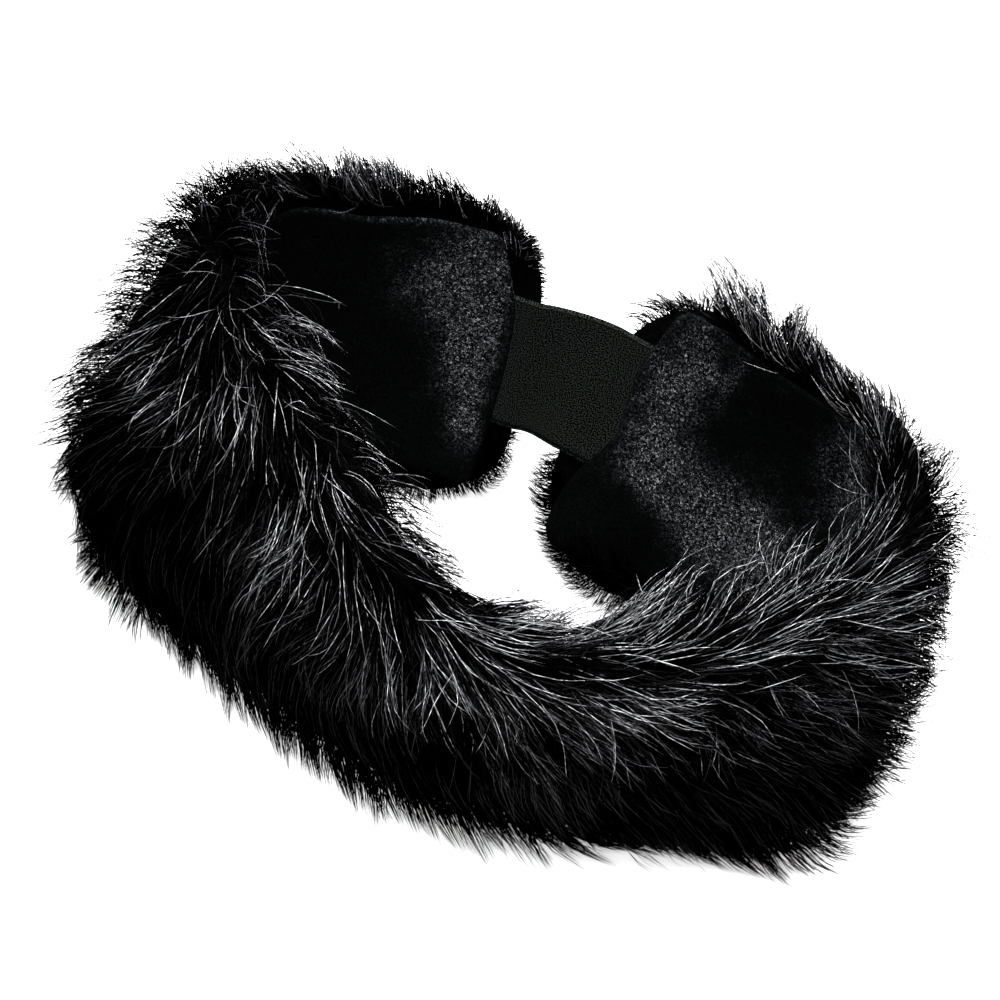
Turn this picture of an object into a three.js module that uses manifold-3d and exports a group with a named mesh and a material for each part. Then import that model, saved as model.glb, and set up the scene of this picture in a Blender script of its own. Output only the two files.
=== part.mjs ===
// Faux fur headband: a wide band of long-pile fur cloth, lined with short velvet plush, whose two
// ends are joined at the back of the head by a strip of woven elastic.
// Millimetres, +Z up. The band stands on its lower fur edge and its forehead side faces -Y.
// The origin lies on the floor, under the middle of the band's bounding box.
import * as THREE from "three";
import { mergeVertices } from "three/addons/utils/BufferGeometryUtils.js";
import Module from "manifold-3d";

const wasm = await Module();
wasm.setup();

// ---------------------------------------------------------------- driving dimensions
const LINING_FOOT = 10; // height of the lining's lower edge above the floor
const LINING_TOP = 100; // height of its upper edge
const LINING_THICK = 2; // plush cloth
const WALL_BULGE = 3; // how far the middle of the wall swells outwards
const CLEARANCE = 0.3; // gap between two pieces that touch on the real band

// The lining stops short of the fur body's ends. Each end edge is dragged out of line where the
// elastic pulls at it, so inset is its distance at even steps from the lining's foot to its top.
const LINING_ENDS = {
  left: { inset: [9, 8.2, 7.2, 6.7, 6.8, 7.8, 12, 17], topCorner: 4, footCorner: 5 },
  right: { inset: [8, 6.8, 9, 13.2, 11.3, 10, 11.6, 14], topCorner: 10, footCorner: 7 },
};

const FUR_OVER_TOP = 5; // fur body above the lining's upper edge at the band's ends
const FUR_OVER_BROW = 14.5; // and in the middle, over the forehead
const FUR_UNDER_FOOT = 11; // fur body below its lower edge, trimmed flat at the floor
const FUR_INSIDE = 1.5; // how far the fur body's rims stand in front of the lining's face
const FUR_TOP_SPREAD = 4; // how much further the upper rim leans in over the lining
const FUR_FOOT_SPREAD = 7; // how much further the pressed lower rim spreads inwards
const FUR_FOOT_FLARE = 0.5; // how far the outer face flares towards the floor
const FUR_END_ROUND = 14; // rounding of the body's thickness at its two ends
const FUR_END_CORNERS = { left: 25, right: 32 }; // radius of the body's corners at each end
const BODY_SQUARENESS = 3.2; // exponent of the body's section, 2 is an ellipse

const ELASTIC_THICK = 1.3;
const ELASTIC_LOW = 34; // height of the elastic's lower edge
const ELASTIC_HIGH = 79; // height of its upper edge, so the webbing is 45 mm wide
const ELASTIC_TUCK = 22; // length from the fur body's end to the elastic's sewn-in end
const ELASTIC_SAG = 0.6; // how much more the free stretch bows back than its ends lead it to
const ELASTIC_SKEW = 2.5; // how much higher its right end is sewn on

// Depths behind the lining's face.
const LINING_BACK = LINING_THICK;
const ELASTIC_FACE = LINING_BACK + CLEARANCE;
const ELASTIC_BACK = ELASTIC_FACE + ELASTIC_THICK;
const SEAT_REACH = 9; // how far in front of the face the seats are cut free

// Sections of the wall, from the left end round the forehead to the right end. topX, topY and
// footX, footY are where the lining's face meets its upper and lower edge, and pile is the depth
// of the fur body there.
const SECTIONS = [
  { topX: -11, topY: 61, footX: 0, footY: 37.5, pile: 9 },
  { topX: -32, topY: 58, footX: -23, footY: 35.5, pile: 9 },
  { topX: -56, topY: 50, footX: -52, footY: 29, pile: 10 },
  { topX: -86, topY: 35, footX: -88, footY: 16.5, pile: 13.5 },
  { topX: -96, topY: 9, footX: -110, footY: -6.5, pile: 13.5 },
  { topX: -74, topY: -18, footX: -100, footY: -32, pile: 10.5 },
  { topX: -46, topY: -46, footX: -67, footY: -46, pile: 9 },
  { topX: -20, topY: -71, footX: -28, footY: -55, pile: 9 },
  { topX: 12, topY: -84, footX: 12, footY: -58.5, pile: 10 },
  { topX: 44, topY: -74, footX: 50, footY: -54.5, pile: 11 },
  { topX: 74, topY: -47, footX: 88, footY: -46, pile: 12 },
  { topX: 98, topY: -15, footX: 118, footY: -27, pile: 15 },
  { topX: 104, topY: 12, footX: 119, footY: 0, pile: 15.5 },
  { topX: 92, topY: 36, footX: 92, footY: 18, pile: 12 },
  { topX: 58, topY: 50, footX: 52, footY: 26, pile: 11 },
  { topX: 36, topY: 58.5, footX: 29, footY: 31, pile: 10 },
  { topX: 19, topY: 63, footX: 10, footY: 32, pile: 9 },
];

// Soft dents and folds of the wall: place along the band and up it as shares of its length and
// height, reach in mm along and up, and depth in mm, outwards when positive.
const FOLDS = [
  { along: 0.075, up: 0.6, reachAlong: 9, reachUp: 70, depth: 1.4 },
  { along: 0.125, up: 0.8, reachAlong: 7, reachUp: 40, depth: -1.5 },
  { along: 0.165, up: 0.8, reachAlong: 8, reachUp: 45, depth: 1.5 },
  { along: 0.835, up: 0.75, reachAlong: 10, reachUp: 42, depth: 4.5 },
  { along: 0.885, up: 0.62, reachAlong: 18, reachUp: 26, depth: 4 },
  { along: 0.93, up: 0.35, reachAlong: 16, reachUp: 24, depth: -2.5 },
  { along: 0.97, up: -0.05, reachAlong: 18, reachUp: 22, depth: -5 },
];

// ---------------------------------------------------------------- the wall's surface
const curve = (points) => new THREE.CatmullRomCurve3(points, false, "catmullrom", 0.5);
const topCurve = curve(SECTIONS.map((s) => new THREE.Vector3(s.topX, s.topY, LINING_TOP)));
const footCurve = curve(SECTIONS.map((s) => new THREE.Vector3(s.footX, s.footY, LINING_FOOT)));
const middleCurve = curve(
  SECTIONS.map((s) => new THREE.Vector3((s.topX + s.footX) / 2, (s.topY + s.footY) / 2, 0)),
);
const pileCurve = curve(SECTIONS.map((s) => new THREE.Vector3(s.pile, 0, 0)));
middleCurve.arcLengthDivisions = 800;
const BAND_LENGTH = middleCurve.getLength();

const clamp = THREE.MathUtils.clamp;
const stationAt = (along) => middleCurve.getUtoTmapping(clamp(along, 0, 1));
const wallHeightAt = (t) => topCurve.getPoint(t).distanceTo(footCurve.getPoint(t));
const pileAt = (along) => pileCurve.getPoint(stationAt(along)).x;

/** Outward unit vector in plan at a place along the band. */
function outwardInPlan(t) {
  const along = middleCurve.getTangent(t);
  return new THREE.Vector3(along.y, -along.x, 0).normalize();
}

/** How far the folds push the wall outwards at a place. */
function foldDepth(along, up) {
  return FOLDS.reduce((sum, f) => {
    const a = ((along - f.along) * BAND_LENGTH) / f.reachAlong;
    const b = ((up - f.up) * (LINING_TOP - LINING_FOOT)) / f.reachUp;
    return sum + f.depth * Math.exp(-a * a - b * b);
  }, 0);
}

/** Point of the lining's face. up is 0 at its lower edge and 1 at its upper one, and may pass both. */
function facePoint(along, up) {
  const t = stationAt(along);
  const inside = clamp(up, 0, 1);
  const push = WALL_BULGE * 4 * inside * (1 - inside) + foldDepth(along, up);
  return footCurve
    .getPoint(t)
    .lerp(topCurve.getPoint(t), up)
    .addScaledVector(outwardInPlan(t), push);
}

/** Frame of the wall at a place: origin on the lining's face, along, up and outward unit vectors. */
function wallFrame(along, up) {
  const step = 0.004;
  const a0 = clamp(along - step, 0, 1);
  const a1 = clamp(along + step, 0, 1);
  const alongDir = facePoint(a1, up).sub(facePoint(a0, up)).normalize();
  const upDir = facePoint(along, up + 0.03).sub(facePoint(along, up - 0.03)).normalize();
  const outDir = new THREE.Vector3().crossVectors(alongDir, upDir).normalize();
  return { origin: facePoint(along, up), alongDir, upDir, outDir };
}

/** Point at a distance outwards from the lining's face. */
function wallPoint(along, up, out) {
  const frame = wallFrame(along, up);
  return frame.origin.addScaledVector(frame.outDir, out);
}

// ---------------------------------------------------------------- geometry helpers
/** Closed mesh from rows of points. Each row is a closed ring, and flat fans close the two ends. */
function loft(rings) {
  const count = rings[0].length;
  const positions = rings.flat().flatMap((p) => [p.x, p.y, p.z]);
  const index = [];
  rings.slice(1).forEach((_, r) => {
    for (let k = 0; k < count; k++) {
      const a = r * count + k;
      const b = r * count + ((k + 1) % count);
      index.push(a, b, a + count, b, b + count, a + count);
    }
  });
  const last = (rings.length - 1) * count;
  for (let k = 1; k < count - 1; k++) {
    index.push(0, k + 1, k, last, last + k, last + k + 1);
  }
  const geometry = new THREE.BufferGeometry();
  geometry.setAttribute("position", new THREE.Float32BufferAttribute(positions, 3));
  geometry.setIndex(index);
  return geometry;
}

/** Closed mesh from rings that each run down a sheet's inner face and back up its outer one. */
function sheet(rings) {
  const count = rings[0].length;
  const rows = count / 2 - 1;
  const geometry = loft(rings);
  const last = (rings.length - 1) * count;
  const index = Array.from(geometry.index.array).slice(0, last * 6);
  for (let r = 0; r < rows; r++) {
    const inner = rows - r;
    const outer = rows + 1 + r;
    index.push(inner, inner - 1, outer, outer, inner - 1, outer + 1);
    index.push(last + inner, last + outer, last + inner - 1);
    index.push(last + outer, last + outer + 1, last + inner - 1);
  }
  geometry.setIndex(index);
  return geometry;
}

/** A manifold-3d solid from a closed geometry, turned right side out if it was inside out. */
function solidOf(geometry) {
  const bare = geometry.clone();
  bare.deleteAttribute("normal");
  bare.deleteAttribute("uv");
  const merged = mergeVertices(bare, 1e-4);
  const vertProperties = merged.attributes.position.array;
  const triVerts = new Uint32Array(merged.index.array);
  const solid = new wasm.Manifold(new wasm.Mesh({ numProp: 3, vertProperties, triVerts }));
  if (solid.volume() >= 0) return solid;
  return new wasm.Manifold(
    new wasm.Mesh({ numProp: 3, vertProperties, triVerts: triVerts.slice().reverse() }),
  );
}

function geometryOf(solid) {
  const mesh = solid.getMesh();
  const geometry = new THREE.BufferGeometry();
  geometry.setAttribute("position", new THREE.BufferAttribute(mesh.vertProperties, 3));
  geometry.setIndex(new THREE.BufferAttribute(mesh.triVerts, 1));
  return geometry;
}

/** Numbers from 0 to 1 that scatter the locks, the same on every run. */
function scatter(seed) {
  let state = seed;
  return () => {
    state = (state * 16807) % 2147483647;
    return state / 2147483647;
  };
}

// ---------------------------------------------------------------- lining
/** How far one end of the lining lies from the fur body's end, at a share of its height. */
function liningEnd(end, row, height) {
  const inset = curve(end.inset.map((value) => new THREE.Vector3(value, 0, 0))).getPoint(row).x;
  const radius = row > 0.5 ? end.topCorner : end.footCorner;
  const past = Math.max(0, radius - Math.min(row, 1 - row) * height);
  return inset + radius - Math.sqrt(radius * radius - past * past);
}

/** Where a column and row of the lining lie on the wall. A margin moves its four edges out. */
function liningPlace(column, row, margin) {
  const height = wallHeightAt(0.5);
  const from = liningEnd(LINING_ENDS.left, row, height) / BAND_LENGTH;
  const to = 1 - liningEnd(LINING_ENDS.right, row, height) / BAND_LENGTH;
  const edge = (share) => (share === 1 ? margin : share === 0 ? -margin : 0);
  return {
    along: from + column * (to - from) + edge(column) / BAND_LENGTH,
    up: row + edge(row) / height,
  };
}

const LINING_COLUMNS = 36;
// Shares of its height, closer together near both edges, where the corners are round.
const LINING_ROWS = [0, 0.025, 0.1, 0.27, 0.44, 0.61, 0.79, 0.93, 1];

/** The lining's outline, grown by margin, as a sheet from one depth to another behind its face. */
function liningSheet(margin, from, to) {
  const rings = [];
  for (let c = 0; c <= LINING_COLUMNS; c++) {
    const side = (out) =>
      LINING_ROWS.map((row) => {
        const place = liningPlace(c / LINING_COLUMNS, row, margin);
        return wallPoint(place.along, place.up, out);
      });
    rings.push([...side(from).reverse(), ...side(to)]);
  }
  return solidOf(sheet(rings));
}

// ---------------------------------------------------------------- elastic
/** Columns of the elastic: tucked in along the left end, free across the gap, tucked in again. */
function elasticColumns(margin) {
  const tucked = 5;
  const free = 6;
  const columns = [];
  for (let k = tucked; k >= 0; k--) {
    const tuck = (ELASTIC_TUCK * k) / tucked + (k === tucked ? margin : 0);
    columns.push({ along: tuck / BAND_LENGTH, across: 0 });
  }
  for (let k = 1; k < free; k++) columns.push({ across: k / free });
  for (let k = 0; k <= tucked; k++) {
    const tuck = (ELASTIC_TUCK * k) / tucked + (k === tucked ? margin : 0);
    columns.push({ along: 1 - tuck / BAND_LENGTH, across: 1 });
  }
  return columns;
}

/** Point of the elastic's run: on the wall where it is tucked in, and between on a bow that leaves
 * one end and meets the other in line with the wall. */
function elasticPoint(column, up, out) {
  if (column.along !== undefined) return wallPoint(column.along, up, out);
  const s = column.across;
  const first = wallPoint(0, up, out);
  const last = wallPoint(1, up, out);
  const gap = last.distanceTo(first);
  const leave = wallFrame(0, up).alongDir.multiplyScalar(-gap);
  const meet = wallFrame(1, up).alongDir.multiplyScalar(-gap);
  return first
    .lerp(last, s * s * (3 - 2 * s))
    .addScaledVector(leave, s * (1 - s) ** 2)
    .addScaledVector(meet, -s * s * (1 - s))
    .add(new THREE.Vector3(0, ELASTIC_SAG * 4 * s * (1 - s), 0));
}

/** The elastic's strip, grown by margin, from one depth to another behind the lining's face. */
function elasticSheet(margin, from, to) {
  const height = LINING_TOP - LINING_FOOT;
  const low = (ELASTIC_LOW - margin - LINING_FOOT) / height;
  const high = (ELASTIC_HIGH + margin - LINING_FOOT) / height;
  const rows = 2;
  const rings = elasticColumns(margin).map((column) => {
    const lift = (ELASTIC_SKEW / height) * column.across;
    const inner = [];
    const outer = [];
    for (let r = 0; r <= rows; r++) {
      const up = low + ((high - low) * r) / rows + lift;
      inner.push(elasticPoint(column, up, from));
      outer.push(elasticPoint(column, up, to));
    }
    return [...inner.reverse(), ...outer];
  });
  return solidOf(sheet(rings));
}

// ---------------------------------------------------------------- fur
/** Rounded fall of a length to nothing at an end: 0 at the end itself and 1 from reach inwards. */
const roundFall = (distance, reach) =>
  distance >= reach ? 1 : Math.sqrt(Math.max(0, 1 - (1 - distance / reach) ** 2));

/** The fur body's section at a place along the band, in mm up the wall and out from the lining. */
function bodySection(along) {
  const fromEnd = Math.min(along, 1 - along) * BAND_LENGTH;
  const height = wallHeightAt(stationAt(along));
  const low = -FUR_UNDER_FOOT;
  const overTop = FUR_OVER_TOP + (FUR_OVER_BROW - FUR_OVER_TOP) * Math.sin(Math.PI * along) ** 2;
  const high = height + overTop;
  const corner = along < 0.5 ? FUR_END_CORNERS.left : FUR_END_CORNERS.right;
  const drawnIn = corner * (1 - roundFall(fromEnd, corner));
  const thin = Math.max(0.12, roundFall(fromEnd, FUR_END_ROUND));
  const depth = (pileAt(along) + FUR_INSIDE) * thin;
  return {
    height,
    overTop,
    thin,
    centreUp: (low + high) / 2,
    halfUp: (high - low) / 2 - drawnIn,
    centreOut: ELASTIC_BACK + CLEARANCE - FUR_INSIDE + depth / 2,
    halfOut: depth / 2,
  };
}

/** Point of the fur body's skin. turn is an angle: 0 at the upper rim, a quarter on the outer face. */
function skinPoint(along, turn) {
  const s = bodySection(along);
  const blunt = (v) => Math.sign(v) * Math.abs(v) ** (2 / BODY_SQUARENESS);
  const side = blunt(Math.sin(turn)); // 1 on the outer face, -1 on the inner one
  const high = s.centreUp + s.halfUp * blunt(Math.cos(turn));
  const overTop = clamp((high - s.height) / s.overTop, 0, 1);
  const underFoot = clamp(-high / FUR_UNDER_FOOT, 0, 1);
  const nearFoot = clamp(1 - high / (0.5 * s.height), 0, 1) ** 2;
  const inwards = (FUR_TOP_SPREAD * overTop + FUR_FOOT_SPREAD * underFoot) * (1 - side) * 0.5;
  const flare = FUR_FOOT_FLARE * nearFoot * Math.max(0, side);
  const shift = (flare - inwards) * s.thin;
  return wallPoint(along, high / s.height, s.centreOut + s.halfOut * side + shift);
}

function furBody() {
  const columns = 38;
  const sides = 12;
  const rings = [];
  for (let c = 0; c <= columns; c++) {
    const even = c / columns;
    const along = even - 0.1 * Math.sin(2 * Math.PI * even) * Math.abs(Math.cos(Math.PI * even));
    const ring = [];
    for (let k = 0; k < sides; k++) ring.push(skinPoint(along, (2 * Math.PI * k) / sides));
    rings.push(ring);
  }
  return solidOf(loft(rings));
}

const LOCK_LENGTH = 32;
const LOCK_WIDTH = 23; // across the nap
const LOCK_THICK = 9;
const LOCK_ROOT = 5; // how deep its root is sunk in the body
const LOCK_RISE = 0.21; // how far its tip stands off the body, against its length
const LOCK_PITCH = 27; // spacing along the band
const LOCK_DROOP = 0.16; // how far it hangs, against its length
const LOCK_SHAPE = [0.75, 1, 0.75]; // its width at even steps from root to tip
const LOCK_DETAIL = 1; // facets smaller than this are merged

// Rows of locks from the upper rim to the lower one: place on the body's outer face, 1 at its
// upper rim and -1 at its lower one, and each lock's length against the longest.
const LOCK_ROWS = [
  { place: 1, length: 0.75 },
  { place: 0.74, length: 0.95 },
  { place: 0.34, length: 1 },
  { place: -0.06, length: 1 },
  { place: -0.46, length: 1 },
  { place: -0.82, length: 0.75 },
];

/** Turn round the body's section that reaches a place on its outer face. */
const turnAt = (place) =>
  Math.acos(clamp(Math.sign(place) * Math.abs(place) ** (BODY_SQUARENESS / 2), -1, 1));

/** Point of the skin with its unit vectors along the band, round the section and outwards. */
function skinFrame(along, turn) {
  const step = 0.006;
  const alongDir = skinPoint(Math.min(1, along + step), turn)
    .sub(skinPoint(Math.max(0, along - step), turn))
    .normalize();
  const roundDir = skinPoint(along, turn + 0.05).sub(skinPoint(along, turn - 0.05)).normalize();
  const outDir = new THREE.Vector3().crossVectors(roundDir, alongDir).normalize();
  return { origin: skinPoint(along, turn), roundDir, outDir };
}

/** One lock: a flat tapering tuft that leaves the skin and bends over it along the nap. */
function lock(along, place, length, twist) {
  const spine = (share) => {
    const reached = Math.min(along + (share * length) / BAND_LENGTH, 1);
    const frame = skinFrame(reached, turnAt(place));
    const rise = -LOCK_ROOT + (LOCK_ROOT + LOCK_RISE * length) * share ** 0.7;
    frame.origin.addScaledVector(frame.outDir, rise).z -= LOCK_DROOP * length * share;
    return frame;
  };
  const rings = LOCK_SHAPE.map((shape, k) => {
    const { origin, roundDir, outDir } = spine(k / LOCK_SHAPE.length);
    const wide = roundDir.applyAxisAngle(outDir, twist).multiplyScalar((LOCK_WIDTH / 2) * shape);
    const thick = outDir.multiplyScalar((LOCK_THICK / 2) * shape);
    return [
      origin.clone().add(wide),
      origin.clone().add(thick),
      origin.clone().sub(wide),
      origin.clone().sub(thick),
    ];
  });
  const tip = spine(1).origin;
  rings.push(rings.at(-1).map((corner) => tip.clone().lerp(corner, 0.1)));
  return solidOf(loft(rings));
}

function furLocks() {
  const random = scatter(41);
  const columns = Math.round(BAND_LENGTH / LOCK_PITCH);
  const locks = [];
  LOCK_ROWS.forEach((row, r) => {
    for (let c = 0; c < columns; c++) {
      const shift = (r % 2) * 0.5 + 0.3 * (random() - 0.5);
      const along = clamp((c + 0.25 + shift) / columns, 0.02, 0.93);
      const place = clamp(row.place + 0.08 * (random() - 0.5), -1, 1);
      const length = LOCK_LENGTH * row.length * (0.85 + 0.3 * random());
      locks.push(lock(along, place, length, 0.5 * (random() - 0.5)));
    }
  });
  return wasm.Manifold.union(locks);
}

/** The fur band: body and locks, less the seats of lining and elastic, flat where it stands. */
function furBand() {
  const below = new THREE.BoxGeometry(600, 600, 100).translate(0, 0, -50);
  const fur = furBody()
    .add(furLocks())
    .simplify(LOCK_DETAIL)
    .subtract(liningSheet(CLEARANCE, -SEAT_REACH, LINING_BACK + CLEARANCE))
    .subtract(elasticSheet(CLEARANCE, -SEAT_REACH, ELASTIC_BACK + CLEARANCE))
    .subtract(solidOf(below.toNonIndexed()));
  return largestBody(fur);
}

/** Drops the clippings that a cut leaves loose. */
function largestBody(solid) {
  return solid.decompose().reduce((most, body) => (body.volume() > most.volume() ? body : most));
}

// ---------------------------------------------------------------- assembly
const furMaterial = new THREE.MeshStandardMaterial({ color: 0x0b0b0c, roughness: 0.55 });
const plushMaterial = new THREE.MeshStandardMaterial({ color: 0x131417, roughness: 0.9 });
const elasticMaterial = new THREE.MeshStandardMaterial({ color: 0x141613, roughness: 0.95 });

function piece(name, geometry, material) {
  const mesh = new THREE.Mesh(geometry, material);
  mesh.name = name;
  return mesh;
}

const headband = new THREE.Group();
headband.add(
  piece("fur_band", geometryOf(furBand()), furMaterial),
  piece("lining", geometryOf(liningSheet(0, 0, LINING_BACK)), plushMaterial),
  piece("elastic", geometryOf(elasticSheet(0, ELASTIC_FACE, ELASTIC_BACK)), elasticMaterial),
);

const bounds = new THREE.Box3().setFromObject(headband);
const centre = bounds.getCenter(new THREE.Vector3());
headband.position.set(-centre.x, -centre.y, -bounds.min.z);

export default headband;
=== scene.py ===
"""Black faux fur headband: a wide band of long-pile faux fur lined with velvet plush, whose two ends
are joined by a strip of woven elastic. It stands on its lower edge with its forehead side to -Y.
Lengths are in millimetres until a mesh is made, and in metres in the meshes."""
import math

import bpy
import numpy as np
from mathutils import Matrix, Vector, kdtree


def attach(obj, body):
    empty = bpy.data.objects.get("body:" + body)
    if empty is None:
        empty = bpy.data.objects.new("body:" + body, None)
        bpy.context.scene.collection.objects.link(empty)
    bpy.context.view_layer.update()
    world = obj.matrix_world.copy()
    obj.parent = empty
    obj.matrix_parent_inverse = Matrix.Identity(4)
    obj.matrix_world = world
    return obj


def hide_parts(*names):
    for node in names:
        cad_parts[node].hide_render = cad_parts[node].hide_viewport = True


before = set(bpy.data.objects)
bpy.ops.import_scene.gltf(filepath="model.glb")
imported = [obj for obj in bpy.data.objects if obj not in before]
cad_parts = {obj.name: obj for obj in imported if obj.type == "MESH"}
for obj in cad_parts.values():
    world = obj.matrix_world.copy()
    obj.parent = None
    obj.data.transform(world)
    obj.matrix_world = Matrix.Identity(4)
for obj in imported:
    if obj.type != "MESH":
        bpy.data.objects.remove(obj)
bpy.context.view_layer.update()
chance = np.random.default_rng(11)

MM = 0.001
# Middle of the band's box in the plan of SECTIONS, which is the origin of the part.
PLAN_MIDDLE = (5.8744, -12.9488)

# -------- the band's wall
LINING_FOOT, LINING_TOP = 10.0, 100.0
LINING_THICK = 2.0
WALL_BULGE = 3.0
# Distance of the lining's end edges from the fur's ends, at even steps from its foot to its top, and
# the radii of its upper and lower corner. The elastic drags each edge out of line.
LINING_LEFT_END = ([9, 8.2, 7.2, 6.7, 6.8, 7.8, 12, 17], 4.0, 5.0)
LINING_RIGHT_END = ([8, 6.8, 9, 13.2, 11.3, 10, 11.6, 13.4], 6.5, 7.0)

FUR_OVER_TOP, FUR_OVER_BROW, FUR_UNDER_FOOT = 5.0, 14.5, 11.0
FUR_INSIDE = 1.5
FUR_TOP_SPREAD, FUR_FOOT_SPREAD, FUR_FOOT_FLARE = 4.0, 7.0, 0.5
FUR_END_ROUND = 14.0
FUR_END_CORNERS = (30.0, 39.0)
BODY_SQUARENESS = 3.2
# Towards the floor the pile's roots draw back under it, so that its tips spread out on the floor.
TUCK_PLACES = [0.15, 0.23, 0.26, 0.34, 0.4, 0.46, 0.5, 0.58, 0.63, 0.68, 0.73, 0.77, 0.82]
TUCKS = [3, 12, 22, 12, 3, -8, -11, -1, 12, 13, 6, 9, 4]
TUCK_REACH = 20.0

ELASTIC_THICK = 1.3
ELASTIC_LOW, ELASTIC_HIGH = 34.0, 79.0
ELASTIC_TUCK = 22.0
ELASTIC_SAG, ELASTIC_SKEW = 0.6, 2.5
ELASTIC_FACE = LINING_THICK + 0.3
ELASTIC_BACK = ELASTIC_FACE + ELASTIC_THICK

# Sections from the left end round the forehead to the right end: x and y of the lining's upper edge,
# x and y of its lower edge, and the depth of the fur body.
SECTIONS = np.array([
    (-11, 61, 0, 37.5, 9), (-32, 58, -23, 35.5, 9), (-56, 50, -52, 29, 10), (-86, 35, -88, 16.5, 13.5),
    (-96, 9, -110, -6.5, 13.5), (-74, -18, -100, -32, 10.5), (-46, -46, -67, -46, 9),
    (-20, -71, -28, -55, 9), (12, -84, 12, -58.5, 10), (44, -74, 50, -54.5, 11), (74, -47, 88, -46, 12),
    (98, -15, 118, -27, 15), (104, 12, 119, 0, 15.5), (92, 36, 92, 18, 12), (58, 50, 52, 26, 11),
    (36, 58.5, 29, 31, 10), (19, 63, 10, 32, 9),
])
# Soft dents and folds: place along the band and up it, reach along and up, and depth outwards.
FOLDS = [
    (0.075, 0.6, 9, 70, 1.4), (0.125, 0.8, 7, 40, -1.5), (0.165, 0.8, 8, 45, 1.5),
    (0.835, 0.75, 10, 42, 4.5), (0.885, 0.62, 18, 26, 4), (0.93, 0.35, 16, 24, -2.5),
    (0.97, -0.05, 18, 22, -5),
]


def curve(values):
    """Smooth curve through rows of values, read at shares of its run from 0 to 1."""
    values = np.atleast_2d(values)
    ends = np.vstack([2 * values[0] - values[1], values, 2 * values[-1] - values[-2]])
    last = len(values) - 1

    def at(share):
        place = np.clip(share, 0, 1) * last
        i = np.minimum(place.astype(int), last - 1)
        f = (place - i)[..., None]
        a, b, c, d = (ends[i + k] for k in range(4))
        return b + 0.5 * f * (c - a + f * (2 * a - 5 * b + 4 * c - d + f * (3 * b - a - 3 * c + d)))

    return at


def unit(vectors):
    return vectors / np.maximum(np.linalg.norm(vectors, axis=-1, keepdims=True), 1e-9)


def smooth(share):
    share = np.clip(share, 0, 1)
    return share * share * (3 - 2 * share)


def round_fall(distance, reach):
    """Rounded rise from nothing at an end to 1 from reach inwards."""
    return np.sqrt(np.clip(1 - (1 - np.clip(distance / reach, 0, 1)) ** 2, 0, 1))


top_curve = curve(np.insert(SECTIONS[:, 0:2], 2, LINING_TOP, axis=1))
foot_curve = curve(np.insert(SECTIONS[:, 2:4], 2, LINING_FOOT, axis=1))
middle_curve = curve((SECTIONS[:, 0:2] + SECTIONS[:, 2:4]) / 2)
pile_curve = curve(SECTIONS[:, 4:5])

stations = np.linspace(0, 1, 801)
run_so_far = np.concatenate(
    [[0], np.cumsum(np.linalg.norm(np.diff(middle_curve(stations), axis=0), axis=1))])
BAND_LENGTH = run_so_far[-1]


def station(along):
    return np.interp(np.clip(along, 0, 1) * BAND_LENGTH, run_so_far, stations)


def wall_height(along):
    t = station(along)
    return np.linalg.norm(top_curve(t) - foot_curve(t), axis=-1)


def face(along, up):
    """Point of the lining's face. up is 0 at its lower edge and 1 at its upper one, and may pass both."""
    along, up = np.broadcast_arrays(along, up)
    t = station(along)
    tangent = middle_curve(t + 1e-4) - middle_curve(t - 1e-4)
    outwards = unit(np.stack([tangent[..., 1], -tangent[..., 0], 0 * t], -1))
    inside = np.clip(up, 0, 1)
    push = WALL_BULGE * 4 * inside * (1 - inside)
    for place, share, reach_along, reach_up, depth in FOLDS:
        a = (along - place) * BAND_LENGTH / reach_along
        b = (up - share) * (LINING_TOP - LINING_FOOT) / reach_up
        push = push + depth * np.exp(-a * a - b * b)
    foot = foot_curve(t)
    return foot + (top_curve(t) - foot) * up[..., None] + outwards * push[..., None]


def wall(along, up, out):
    """Point at a distance out from the lining's face, and the wall's direction along the band there."""
    along, up, out = np.broadcast_arrays(along, up, out)
    a0, a1 = np.clip(along - 0.004, 0, 1), np.clip(along + 0.004, 0, 1)
    along_dir = unit(face(a1, up) - face(a0, up))
    up_dir = unit(face(along, up + 0.03) - face(along, up - 0.03))
    out_dir = unit(np.cross(along_dir, up_dir))
    return face(along, up) + out_dir * out[..., None], along_dir


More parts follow.
